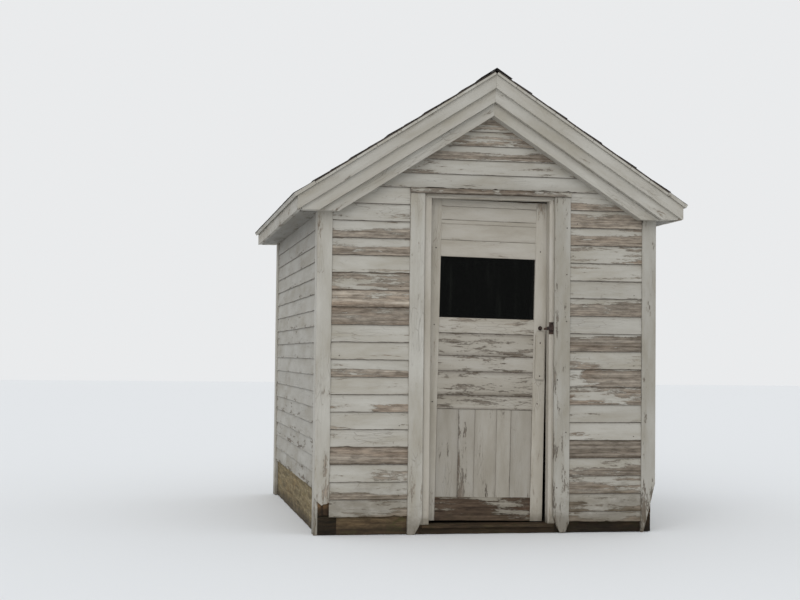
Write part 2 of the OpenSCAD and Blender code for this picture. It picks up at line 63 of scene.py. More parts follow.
def make_camera():
    """Stands where the photographer stood and looks at the building from there."""
    turns = ((-0.13, "Z"), (91.37, "X"), (0.88, "Z"), (-10.2, "Y"), (0.75, "X"))
    data = bpy.data.cameras.new("camera")
    data.sensor_width, data.lens = 36, 64
    camera = new_object("camera", data)
    held = Matrix.Translation((-2.043, -9.502, 1.047))
    for degrees, axis in turns:
        held = held @ Matrix.Rotation(math.radians(degrees), 4, axis)
    camera.matrix_world = held
    scene.camera = camera


def make_world():
    """Soft grey sky that is brighter overhead, and a pale backdrop for the camera."""
    world = bpy.data.worlds.new("sky")
    scene.world = world
    n = Nodes(world)
    up = n.split(n.add("TexCoord").outputs["Generated"])["Z"]
    rise = n.add("MapRange", (up, -0.1, 0.9, 0.72, 0.95)).outputs["Result"]
    sky = n.add("Background", ((0.94, 0.97, 1.0, 1), rise))
    backdrop = n.add("Background", ((0.82, 0.83, 0.84, 1),))
    rays = n.add("LightPath").outputs
    seen = rays["Is Camera Ray"]
    for ray in ("Is Glossy Ray", "Is Transmission Ray"):
        seen = n.math("MAXIMUM", seen, rays[ray])
    mix = n.add("MixShader", (seen, sky.outputs[0], backdrop.outputs[0]))
    n.add("OutputWorld", (mix.outputs[0],))


def make_lamps():
    sun = bpy.data.lights.new("soft_sun", "SUN")
    sun.energy = 0.9
    sun.angle = math.radians(50)
    sun.color = (1.0, 0.985, 0.96)
    new_object("soft_sun", sun).rotation_euler = (math.radians(60), 0, math.radians(-24))


def make_floor():
    mesh = bpy.data.meshes.new("studio_floor")
    side = 45
    corners = [(-side, -side, 0), (side, -side, 0), (side, side, 0), (-side, side, 0)]
    mesh.from_pydata(corners, [], [(0, 1, 2, 3)])
    n = Finish("studio_floor")
    n.put("Base Color", (0.78, 0.785, 0.79, 1))
    n.put("Roughness", 0.9)
    n.put("Specular IOR Level", 0.1)
    mesh.materials.append(n.material)
    new_object("studio_floor", mesh)


# Materials

class Nodes:
    """A node tree, built a node at a time."""

    def __init__(self, owner):
        owner.use_nodes = True
        self.tree = owner.node_tree
        self.tree.nodes.clear()

    def feed(self, socket, value):
        if isinstance(value, bpy.types.NodeSocket):
            self.tree.links.new(value, socket)
        else:
            socket.default_value = value

    def add(self, kind, inputs=(), **settings):
        """Adds a node. Its inputs are given in order, or by name or number."""
        node = self.tree.nodes.new("ShaderNode" + kind)
        for name, value in settings.items():
            setattr(node, name, value)
        for key, value in inputs.items() if isinstance(inputs, dict) else enumerate(inputs):
            self.feed(node.inputs[key], value)
        return node

    def split(self, vector):
        return self.add("SeparateXYZ", (vector,)).outputs

    def math(self, operation, *values):
        return self.add("Math", values, operation=operation).outputs[0]


class Finish(Nodes):
    """The nodes of one material. A scale counts repeats in a metre, along the grain and across it."""

    def __init__(self, name):
        self.material = bpy.data.materials.new(name)
        super().__init__(self.material)
        self.shader = self.add("BsdfPrincipled")
        self.add("OutputMaterial", (self.shader.outputs[0],))

    def put(self, name, value):
        self.feed(self.shader.inputs[name], value)

    def attribute(self, name, output="Fac"):
        return self.add("Attribute", attribute_name=name).outputs[output]

    def place(self):
        return self.add("TexCoord").outputs["Object"]

    def join(self, x, y, z):
        return self.add("CombineXYZ", (x, y, z)).outputs[0]

    def scaled(self, vector, scale):
        return self.add("VectorMath", (vector, scale), operation="MULTIPLY").outputs[0]

    def noise(self, vector, scale, detail=5.0, roughness=0.6, distortion=0.0):
        inputs = {"Vector": self.scaled(vector, scale), "Scale": 1.0, "Detail": detail,
                  "Roughness": roughness, "Distortion": distortion}
        return self.add("TexNoise", inputs).outputs["Fac"]

    def cracks(self, vector, scale):
        inputs = {"Vector": self.scaled(vector, scale), "Scale": 1.0}
        return self.add("TexVoronoi", inputs, feature="DISTANCE_TO_EDGE").outputs["Distance"]

    def remap(self, value, low, high, to_low=0.0, to_high=1.0):
        values = (value, low, high, to_low, to_high)
        return self.add("MapRange", values, interpolation_type="SMOOTHSTEP").outputs["Result"]

    def mix(self, factor, first, second, mode="MIX"):
        inputs = {0: factor, 6: first, 7: second}
        return self.add("Mix", inputs, data_type="RGBA", blend_type=mode).outputs[2]

    def cover(self, base, mask, amount, coat):
        """Lays a coat over the base where the mask is, by an amount."""
        return self.mix(self.math("MULTIPLY", mask, amount), base, coat)

    def multiply(self, base, other):
        return self.mix(1.0, base, other, "MULTIPLY")

    def shaded(self, base, shade):
        return self.multiply(base, self.join(shade, shade, shade))

    def ramp(self, value, *stops):
        node = self.add("ValToRGB", (value,))
        elements = node.color_ramp.elements
        while len(elements) < len(stops):
            elements.new(0.5)
        for element, (position, shade) in zip(elements, stops):
            element.position = position
            element.color = shade
        return node.outputs[0]

    def finish(self, base, roughness, specular, height, depth, strength):
        """Sets the surface's colour, gloss and relief, and gives the material back."""
        relief = self.add("Bump", {"Distance": depth, "Strength": strength, "Height": height}).outputs[0]
        for name, value in (("Base Color", base), ("Roughness", roughness),
                            ("Specular IOR Level", specular), ("Normal", relief)):
            self.put(name, value)
        return self.material


def colour(red, green, blue):
    """A linear colour from the 0 to 255 values that a screen shows."""
    def linear(value):
        share = value / 255
        return share / 12.92 if share <= 0.04045 else ((share + 0.055) / 1.055) ** 2.4
    return (linear(red), linear(green), linear(blue), 1.0)


def colours(*shown):
    return [colour(*values) for values in shown]


def wood_colour(n, grain, wood):
    """Streaks and rings that run along the grain. Wood is given as light, middle, dark and warm."""
    light, middle, dark, warm = wood
    unchanged = (1, 1, 1, 1)
    rings = n.noise(grain, (1.3, 70, 30), 7, 0.68, 0.4)
    streaks = n.noise(grain, (5, 300, 200), 4, 0.7)
    base = n.ramp(rings, (0.3, dark), (0.46, middle), (0.66, light))
    warmth = n.remap(n.noise(grain, (1.1, 9, 6), 4), 0.48, 0.68)
    base = n.cover(base, warmth, 0.5, warm)
    lines = n.ramp(streaks, (0.32, (0.66, 0.65, 0.63, 1)), (0.5, unchanged), (0.7, (1.1, 1.09, 1.08, 1)))
    weathered = n.noise(grain, (13, 60, 45), 6, 0.7)
    blotches = n.ramp(weathered, (0.36, (0.62, 0.61, 0.6, 1)), (0.5, unchanged), (0.64, (1.3, 1.3, 1.29, 1)))
    base = n.multiply(base, blotches)
    return n.multiply(base, lines), rings, streaks


def ground_dirt(n, base, reach, amount, dirt):
    """Splashed dirt and damp that fade upwards from the ground."""
    place = n.place()
    height = n.split(place)[2]
    edge = n.math("MULTIPLY", n.math("SUBTRACT", n.noise(place, (9, 9, 14), 5), 0.5), reach * 1.6)
    wet = n.remap(n.math("ADD", height, edge), reach, 0.02)
    return n.cover(base, wet, amount, dirt)


def old_paint(name, paint, wood, patch=(4, 34, 34), flake=0.5, dirt_reach=0.4):
    """Old paint that has flaked off weathered wood, more so where the wear attribute is high.

    Paint is given as plain, pale and stained. patch is the scale of the bare patches.
    """
    n = Finish(name)
    plain, pale, stained = paint
    _, middle, dark, _ = wood
    grain = n.attribute("grain", "Vector")
    patches = n.noise(grain, patch, 8, 0.62, 0.25)
    flakes = n.noise(grain, (45, 170, 170), 5, 0.65)
    level = n.math("MULTIPLY_ADD", n.math("SUBTRACT", patches, 0.5), 1.5, n.attribute("wear"))
    level = n.math("MULTIPLY_ADD", n.math("SUBTRACT", flakes, 0.5), flake, level)
    bare = n.remap(level, 0.44, 0.57)

    bared, rings, streaks = wood_colour(n, grain, wood)
    stains = n.noise(grain, (2.2, 8, 8), 5, 0.6)
    coat = n.ramp(stains, (0.3, stained), (0.52, plain), (0.72, pale))
    thin = n.remap(level, 0.25, 0.47)
    coat = n.cover(coat, thin, 0.3, stained)
    specks = n.remap(n.noise(grain, (90, 260, 260), 4, 0.7), 0.6, 0.7)
    coat = n.cover(coat, specks, 0.35, middle)
    lines = n.cracks(grain, (9, 70, 70))
    cracked = n.remap(n.noise(grain, (1.6, 7, 7), 3), 0.5, 0.66)
    crack = n.math("MULTIPLY", n.remap(lines, 0.05, 0.0), cracked)
    coat = n.cover(coat, crack, 0.36, dark)

    # A dark rim where the paint ends on bare wood: painted shadow of the paint's raised edge.
    paint_edge_shadow = n.math("MULTIPLY", bare, n.math("SUBTRACT", 1.0, bare))
    surface = n.mix(bare, coat, bared)
    surface = n.mix(paint_edge_shadow, surface, dark)
    shade = n.math("MULTIPLY_ADD", n.attribute("tone"), n.remap(bare, 0.0, 1.0, 0.05, 0.24), 1.0)
    shade = n.math("MAXIMUM", shade, n.remap(bare, 0.0, 1.0, 0.5, 0.66))
    surface = n.shaded(surface, shade)
    # Darkening towards the edges that each board gives: dirt, and painted shade under the course above and in
    # the joints between boards.
    grime_and_shade = n.math("MULTIPLY", n.attribute("grime_and_shade"), n.remap(flakes, 0.35, 0.6, 0.6, 0.95))
    surface = n.mix(grime_and_shade, surface, colour(66, 54, 43))
    surface = ground_dirt(n, surface, dirt_reach, 0.55, colour(78, 68, 50))
    height = n.math("MULTIPLY_ADD", bare, -1.0, n.math("MULTIPLY", rings, 0.35))
    height = n.math("MULTIPLY_ADD", streaks, 0.25, height)
    height = n.math("MULTIPLY_ADD", crack, -0.5, height)
    return n.finish(surface, n.remap(bare, 0.0, 1.0, 0.62, 0.92), 0.25, height, 0.0016, 0.9)


def bare_wood(name, wood, grain_axis=None, dirt=(40, 32, 24), dirt_reach=0.3, dirt_amount=0.5, moss=0.0):
    """Unpainted wood. Pieces without their own grain take its direction from an axis."""
    n = Finish(name)
    if grain_axis is None:
        grain = n.attribute("grain", "Vector")
    else:
        x, y, z = n.split(n.place())
        order = {"x": (x, z, y), "y": (y, x, z), "z": (z, x, y)}[grain_axis]
        grain = n.join(*order)
    surface, rings, streaks = wood_colour(n, grain, wood)
    checks = n.noise(grain, (1.8, 60, 60), 3, 0.5)
    check = n.remap(n.math("ABSOLUTE", n.math("SUBTRACT", checks, 0.5)), 0.012, 0.0)
    here = n.remap(n.noise(grain, (0.9, 5, 5), 2), 0.5, 0.6)
    check = n.math("MULTIPLY", check, here)
    surface = n.cover(surface, check, 0.75, (0.02, 0.016, 0.012, 1))
    if moss:
        green = n.remap(n.noise(n.place(), (14, 14, 20), 5, 0.7), 0.5, 0.66)
        surface = n.cover(surface, green, moss, colour(62, 66, 34))
    surface = ground_dirt(n, surface, dirt_reach, dirt_amount, colour(*dirt))
    if grain_axis is None:
        surface = n.shaded(surface, n.math("MULTIPLY_ADD", n.attribute("tone"), 0.2, 1.0))
    height = n.math("MULTIPLY_ADD", check, -1.2, n.math("MULTIPLY", rings, 0.8))
    height = n.math("MULTIPLY_ADD", streaks, 0.5, height)
    return n.finish(surface, n.remap(streaks, 0.3, 0.7, 0.78, 0.96), 0.2, height, 0.0014, 0.9)


def shingle_material():
    """Mineral granules on dark felt, mottled and faded."""
    n = Finish("weathered_shingles")
    grain = n.attribute("grain", "Vector")
    granules = n.noise(grain, (420, 420, 420), 2, 0.5)
    mottle = n.noise(grain, (7, 7, 7), 5, 0.65)
    base = n.ramp(mottle, (0.3, colour(40, 38, 37)), (0.52, colour(60, 56, 54)), (0.72, colour(84, 78, 75)))
    speckle = n.ramp(granules, (0.34, (0.5, 0.5, 0.5, 1)), (0.5, (1, 1, 1, 1)), (0.66, (1.55, 1.5, 1.48, 1)))
    surface = n.multiply(base, speckle)
    lichen = n.remap(n.noise(n.place(), (5, 5, 5), 6, 0.7), 0.58, 0.68)
    surface = n.cover(surface, lichen, 0.35, colour(96, 98, 78))
    surface = n.shaded(surface, n.math("MULTIPLY_ADD", n.attribute("tone"), 0.16, 1.0))
    return n.finish(surface, n.remap(granules, 0.3, 0.7, 0.84, 0.98), 0.2, granules, 0.0014, 0.8)


def rusty_iron():
    n = Finish("rusty_iron")
    place = n.place()
    cloud = n.noise(place, (55, 55, 55), 7, 0.7)
    pits = n.noise(place, (340, 340, 340), 4, 0.6)
    surface = n.ramp(cloud, (0.3, colour(24, 18, 16)), (0.5, colour(44, 31, 25)), (0.7, colour(80, 52, 37)))
    n.put("Metallic", n.remap(cloud, 0.3, 0.6, 0.45, 0.05))
    height = n.math("ADD", cloud, pits)
    return n.finish(surface, n.remap(pits, 0.3, 0.7, 0.62, 0.92), 0.5, height, 0.0009, 0.8)


def dusty_glass_and_room_shade():
    """Old glass with streaks of dirt; its near-black colour is painted shade of the dark room behind."""
    n = Finish("dusty_glass_and_room_shade")
    place = n.place()
    streaks = n.noise(place, (26, 26, 2.2), 5, 0.6)
    specks = n.noise(place, (160, 160, 160), 3, 0.6)
    dust = n.math("MULTIPLY", n.remap(streaks, 0.5, 0.72), n.remap(specks, 0.35, 0.65, 0.5, 1.0))
    # The near-black base is painted shade of the room behind the glass; the lighter colour is dust.
    surface = n.cover(colour(5, 6, 5), dust, 0.4, colour(34, 36, 32))
    n.put("Alpha", n.remap(dust, 0.0, 1.0, 0.94, 0.98))
    ripple = n.noise(place, (5, 5, 5), 2)
    return n.finish(surface, n.remap(dust, 0.0, 1.0, 0.14, 0.5), 0.06, ripple, 0.002, 0.25)


# Boards

class Piece:
    """One object made of many boards."""

    def __init__(self, name):
        self.name = name
        self.points, self.faces, self.behind = [], [], []
        self.layers = {"grain": [], "wear": [], "tone": [], "grime_and_shade": []}

    def add(self, points, faces, grain, wear, tone, behind=None, grime_and_shade=None):
        first = len(self.points)
        self.points.extend(points)
        self.faces.extend(tuple(first + corner for corner in face) for face in faces)
        self.behind.extend(behind or [0] * len(faces))
        grime_and_shade = grime_and_shade or [0.0] * len(points)
        for layer, values in zip(self.layers.values(), (grain, wear, tone, grime_and_shade)):
            layer.extend(values)

    def make(self, material, body, slot, *nodes, lean=None, behind=None):
        mesh = bpy.data.meshes.new(self.name)
        mesh.from_pydata([tuple(point) for point in self.points], [], self.faces)
        mesh.materials.append(material)
        if behind:
            mesh.materials.append(behind)
            mesh.polygons.foreach_set("material_index", self.behind)
        for name, values in self.layers.items():
            kind, key = ("FLOAT_VECTOR", "vector") if name == "grain" else ("FLOAT", "value")
            layer = mesh.attributes.new(name, kind, "POINT")
            layer.data.foreach_set(key, np.array(values, np.float32).ravel())
        shape = bmesh.new()
        shape.from_mesh(mesh)
        bmesh.ops.recalc_face_normals(shape, faces=shape.faces)
        shape.to_mesh(mesh)
        shape.free()
        if lean:
            mesh.transform(lean)
        thing = new_object(self.name, mesh)
        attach(thing, body)
        if nodes:
            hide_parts(*nodes)


def wander(position, seed, size):
    """Smooth values between -1 and 1 along a board."""
    return np.array([noise.noise(Vector((value / size, seed, 0.5))) for value in position])


def patch_wear(patches, share, rise):
    """Wear added by patches, each given by its span along a board, its span across it and its strength."""
    fade_along, fade_across = 0.15, 0.12
    total = 0.0
    for left, right, low, high, amount in patches:
        beside = max(left - share, share - right, 0.0) / fade_along
        above = max(low - rise, rise - high, 0.0) / fade_across
        total += amount * max(0.0, 1 - math.hypot(beside, above))
    return total


def swept_faces(rings, around):
    """Faces of a closed form swept through rings of points, with its two ends last."""
    faces = []
    for ring in range(rings - 1):
        low, high = ring * around, (ring + 1) * around
        faces += [(low + j, low + (j + 1) % around, high + (j + 1) % around, high + j) for j in range(around)]
    return faces + [tuple(range(around)), tuple((rings - 1) * around + j for j in range(around))]


def board(piece, origin, along, across, out, profile, start, stop, wear=0.25, edge_wear=0.0, end_wear=0.0,
          tone=None, step=0.05, bow=0.0008, chip=0.0, ragged=0.0, patches=(), edge_shade_and_dirt=None):
    """Adds one board, swept from start to stop along the grain.

    The profile is a closed outline in (across, out). start and stop are lengths, or functions of the distance
    across for a slanting cut. chip eats into the lower outer edge and ragged into the far end. The last
    argument gives the shares of the width over which a darkening fades in from the lower and the upper edge,
    and its strength; the darkening is dirt, and painted shade under the course above and in the joints.
    """
    edge_reach, chip_reach, end_reach = 0.45, 0.15, 0.12
    bend_size, twist_size, bite_size, nick_size, splinters = 0.55, 0.4, 0.055, 0.016, 45
    origin = Vector(origin)
    wide, deep = np.array(profile, float).T
    first, last = (np.array([end(value) if callable(end) else end for value in wide])
                   for end in (start, stop))
    seed = rng.uniform(0, 60)
    if tone is None:
        tone = rng.uniform(-1, 1)
    count = max(2, int(math.ceil(float((last - first).max()) / step)) + 1)
    share = np.linspace(0, 1, count)
    middle = first.mean() + (last.mean() - first.mean()) * share
    bend = bow * wander(middle, seed, bend_size)
    twist = bow * wander(middle, seed + 9.1, twist_size)
    bite = wander(middle, seed + 4.7, bite_size) + 0.45 * wander(middle, seed + 2.2, nick_size)
    bite = chip * np.clip(bite, 0, 1)
    rise = (wide - wide.min()) / (wide.max() - wide.min())
    near_edge = np.maximum(0.0, 1 - rise / edge_reach)
    points, grain, worn, grime_and_shade = [], [], [], []
    for i in range(count):
        for j in range(len(wide)):
            length = first[j] + (last[j] - first[j]) * share[i]
            if ragged and i == count - 1:
                length -= ragged * abs(noise.noise(Vector((wide[j] * splinters, seed, 3.3))))
            w, t = wide[j] + bend[i], deep[j]
            if t > 0:
                t += twist[i]
                w += bite[i] if rise[j] < chip_reach else 0.0
            points.append(origin + along * length + across * w + out * t)
            grain.append((length, wide[j], deep[j] + seed))
            near_end = max(0.0, 1 - min(length - first[j], last[j] - length) / end_reach)
            worn.append(wear + edge_wear * near_edge[j] + end_wear * near_end
                        + patch_wear(patches, share[i], rise[j]))
            if edge_shade_and_dirt:
                grime_and_shade.append(max(0.0, 1 - rise[j] / edge_shade_and_dirt[0], 1 - (1 - rise[j]) / edge_shade_and_dirt[1]) * edge_shade_and_dirt[2])
    flat = ((deep == 0) & (np.roll(deep, -1) == 0)).astype(int).tolist()
    piece.add(points, swept_faces(count, len(wide)), grain, worn, [tone] * len(points),
              flat * (count - 1) + [0, 0], grime_and_shade)


def plank(width, thickness, worn=0.0015, rows=1):
    """Outline of a board with its two outer arrises worn round; rows adds points across its faces."""
    back = [(width * i / rows, 0) for i in range(rows + 1)]
    face = [(width - worn - (width - 2 * worn) * i / rows, thickness) for i in range(rows + 1)]
    return [*back, (width, thickness - worn), *face, (0, thickness - worn)]


def lap(height, butt, top):
    """Outline of a lapped course: thick at its lower edge and thin where the next one covers it."""
    worn = 0.0015
    face = [(height * share, butt + (top - butt) * share) for share in (1, 0.93, 0.86, 0.66, 0.5, 0.34, 0.18)]
    return [(0, 0), (height, 0), *face, (worn, butt), (0, butt - worn)]


def solids(name, turn=Matrix.Identity(4)):
    """Lowest and highest corners of the separate solids in a CAD node, sorted by place."""
    mesh = frame["nodes"][name].data
    places = [turn @ vertex.co for vertex in mesh.vertices]
    keys = {}
    group = [keys.setdefault(tuple(round(value, 5) for value in place), len(keys)) for place in places]
    parent = list(range(len(keys)))

    def root(item):
        while parent[item] != item:
            parent[item] = parent[parent[item]]
            item = parent[item]
        return item

    for face in mesh.polygons:
        corners = [group[corner] for corner in face.vertices]
        for corner in corners[1:]:
            parent[root(corner)] = root(corners[0])
    boxes = {}
    for place, number in zip(places, group):
        boxes.setdefault(root(number), []).append(place)
    found = [(Vector(np.min(cloud, axis=0)), Vector(np.max(cloud, axis=0))) for cloud in boxes.values()]
    return sorted(found, key=lambda pair: tuple(round(value, 4) for value in pair[0]))


def course_edges(name, out):
    """Heights of the lower edges of a wall's courses, and of its top, read from the CAD solid."""
    mesh = frame["nodes"][name].data
    reach = max(vertex.co.dot(out) for vertex in mesh.vertices)
    edges = sorted({round(v.co.z, 5) for v in mesh.vertices if v.co.dot(out) > reach - 0.0005})
    return edges + [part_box(name)[1].z]


def nail(piece, place, out, radius=0.004):
    """A small domed nail head."""
    side = out.orthogonal().normalized()
    other = out.cross(side)
    place = Vector(place)
    sides, dome = 8, 0.35
    ring = [place + (side * math.cos(turn) + other * math.sin(turn)) * radius
            for turn in (2 * math.pi * i / sides for i in range(sides))]
    points = ring + [place + out * radius * dome]
    faces = [(i, (i + 1) % sides, sides) for i in range(sides)] + [tuple(range(sides))]
    count = len(points)
    piece.add(points, faces, [tuple(point) for point in points], [0.5] * count, [0.0] * count)


def beam(piece, origin, along, across, out, width, height, length, depth=0.006, step=0.05, tone=0.0):
    """A rough timber whose faces are eaten away by up to depth."""
    rows = 4
    coarse, fine = 7, 28
    corners = [(0, 0), (width, 0), (width, height), (0, height)]
    outline = []
    for (w0, t0), (w1, t1) in zip(corners, corners[1:] + corners[:1]):
        outline += [(w0 + (w1 - w0) * i / rows, t0 + (t1 - t0) * i / rows) for i in range(rows)]
    origin = Vector(origin)
    seed = rng.uniform(0, 60)
    count = int(length / step) + 2
    points, grain = [], []
    for i in range(count):
        position = length * i / (count - 1)
        for w, t in outline:
            place = origin + along * position + across * w + out * t
            inward = Vector((width / 2 - w, height / 2 - t)).normalized()
            rot = 0.5 + noise.noise(place * coarse) * 0.6 + noise.noise(place * fine) * 0.4
            eaten = depth * max(0.0, rot)
            w, t = w + inward.x * eaten, t + inward.y * eaten
            points.append(origin + along * position + across * w + out * t)
            grain.append((position, w, t + seed))
    piece.add(points, swept_faces(count, len(outline)), grain, [0.5] * len(points), [tone] * len(points))


# Sizes shared with the solids, in metres
half_w, half_d = 1.015, 1.255
front = -half_d
board_t = 0.022
corner_x = half_w + board_t
front_strip_w, side_strip_w = 0.088, 0.092
field_x = corner_x - front_strip_w
rake_w, upper_frieze_w, lower_frieze_w = 0.069, 0.136, 0.201
upper_backing_t, lower_backing_t = 0.073, 0.062
hinge_stop_w, latch_stop_w, head_stop_w = 0.038, 0.022, 0.010
rot_h, rot_slope = 0.190, 0.022
break_h, break_w = 0.290, 0.072
butt_t, thin_t = 0.0165, 0.009
shingle_t, deck_t = 0.009, 0.020
exposure = 0.127
seam, close = 0.002, 0.0003

gable_low, gable_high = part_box("front_gable_siding")
slope = (gable_high.z - gable_low.z) / gable_high.x
pitch = math.atan(slope)
sin_p, cos_p = math.sin(pitch), math.cos(pitch)
peak = gable_high.z
deck_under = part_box("front_frieze")[1].z
eave_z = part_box("eave_soffits")[0].z
fascia_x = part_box("eave_fascias")[1].x
fascia_in = fascia_x - board_t


# Materials of this building

def make_materials():
    bare = colours((160, 151, 139), (132, 122, 110), (82, 72, 61), (136, 118, 101))
    white = colours((167, 163, 154), (178, 175, 167), (151, 145, 132))
    door = colours((165, 159, 148), (173, 168, 159), (149, 142, 129))
    foot_paint = colours((140, 134, 122), (152, 147, 136), (108, 99, 84))
    foot_wood = colours((102, 87, 73), (79, 65, 53), (44, 35, 28), (92, 69, 53))
    grey = colours((142, 131, 118), (118, 106, 92), (70, 60, 50), (122, 98, 78))
    deck = colours((80, 73, 66), (58, 52, 47), (30, 26, 23), (66, 55, 46))
    sill = colours((90, 76, 56), (68, 56, 41), (32, 26, 19), (84, 60, 40))
    side_sill = colours((146, 133, 104), (118, 104, 76), (62, 52, 37), (128, 106, 70))
    inner = colours((138, 112, 84), (112, 88, 63), (64, 48, 34), (126, 88, 56))
    timber = colours((142, 114, 84), (116, 90, 63), (66, 49, 34), (128, 88, 55))
    return {
        "siding": old_paint("peeling_siding", white, bare),
        "trim": old_paint("chalky_trim", white, bare, (5, 26, 26), flake=0.6, dirt_reach=0.25),
        "door": old_paint("worn_door_paint", door, bare, (5, 30, 30), dirt_reach=0.15),
        "kick": old_paint("bare_foot_rail", foot_paint, foot_wood, dirt_reach=0.12),
        "grey": bare_wood("weathered_grey_wood", grey),
        "deck": bare_wood("dark_roof_boards", deck),
        "sill": bare_wood("rotting_sill", sill, moss=0.4, dirt_reach=0.07, dirt_amount=0.6),
        "side_sill": bare_wood("weathered_side_sill", side_sill, moss=0.35, dirt_reach=0.09, dirt_amount=0.7),
        "inner": bare_wood("rough_boards_inside", inner, dirt_reach=0.2, dirt_amount=0.3),
        "frame_x": bare_wood("rough_timber_x", timber, "x"),
        "frame_y": bare_wood("rough_timber_y", timber, "y"),
        "frame_z": bare_wood("rough_timber_z", timber, "z", (22, 18, 14), dirt_reach=0.45, dirt_amount=0.95),
        "shingle": shingle_material(),
        "iron": rusty_iron(),
        "glass": dusty_glass_and_room_shade(),
    }


def dress(material, *names):
    """Gives CAD nodes a material of their own."""
    for name in names:
        mesh = frame["nodes"][name].data
        mesh.materials.clear()
        mesh.materials.append(material)


def make_trim(m, piece, *nodes):
    piece.make(m["trim"], "root", "trim_paint", *nodes)


# Walls

def lap_wall(m, node, foot, along, out, begin, end, wear_of, breaks=(None,), grime_and_shade=1.0):
    """Lapped courses of one wall that stands on foot. begin and end give a board's ends at a height."""
    least_h, least_length, half_joint = 0.01, 0.03, 0.0004
    nearly_bare = 0.6
    piece = Piece("lapped_" + node)
    edges = course_edges(node, out)
    for index, (low, high) in enumerate(zip(edges, edges[1:])):
        middle = (low + high) / 2
        if high - low < least_h or end(middle) - begin(middle) < least_length:
            continue
        wear, edge_wear, tone, *patches = wear_of(index)
        # Each course darkens at its top, under the butt of the course above, and a nearly bare course also
        # along its lower edge: painted shade, with some dirt.
        low_reach = 0.14 if wear > nearly_bare else 0.012
        here = breaks[index % len(breaks)]
        cuts = [begin, end] if here is None else [begin, here, end]
        for start, stop in zip(cuts, cuts[1:]):
            board(piece, (*foot, low), along, Z, out, lap(high - low + seam, butt_t, thin_t),
                  (lambda w, f=start: f(low + w) if callable(f) else f + half_joint),
                  (lambda w, f=stop: f(low + w) if callable(f) else f - half_joint),
                  wear=wear, edge_wear=edge_wear, end_wear=0.08, tone=tone, step=0.02, bow=0.0007,
                  chip=0.004 if index else 0.013, patches=patches, edge_shade_and_dirt=(low_reach, 0.10, grime_and_shade))
    piece.make(m["siding"], "root", "siding_paint", node, behind=m["inner"])


def under_roof(z):
    """Half width of the wall just behind the frieze at a height."""
    hidden = 0.03
    return (peak - z) / slope + hidden


def marked_wear(marks, plain_tone):
    """Wear of each course from the bottom. Marks name the courses that have lost some of their paint."""
    def wear_of(index):
        mean, edge, tone, *patches = marks.get(index, (0.21, 0.10, plain_tone))
        return mean + rng.uniform(-0.02, 0.02), edge, tone, *patches
    return wear_of


def ground_wear(index):
    """What the courses near the ground are worn more than the others."""
    courses, most = 5, 0.10
    return max(0.0, 1 - index / courses) * most


def rear_wear(index):
    return rng.uniform(0.20, 0.36) + ground_wear(index), 0.14, rng.uniform(-1, 1)


def side_wear_and_shade(index):
    """Wear of a side wall, and its tone: painted shade, darker still in the courses below the eave."""
    first_eave_shaded, eave_shade_step = 13, 1.4
    wear = rng.uniform(0.12, 0.23) + ground_wear(index)
    # Painted shade: darker overall, and a step darker for each course under the eave.
    tone = rng.uniform(-3.0, -1.2) - eave_shade_step * max(0, index - first_eave_shaded)
    return wear, 0.12, tone


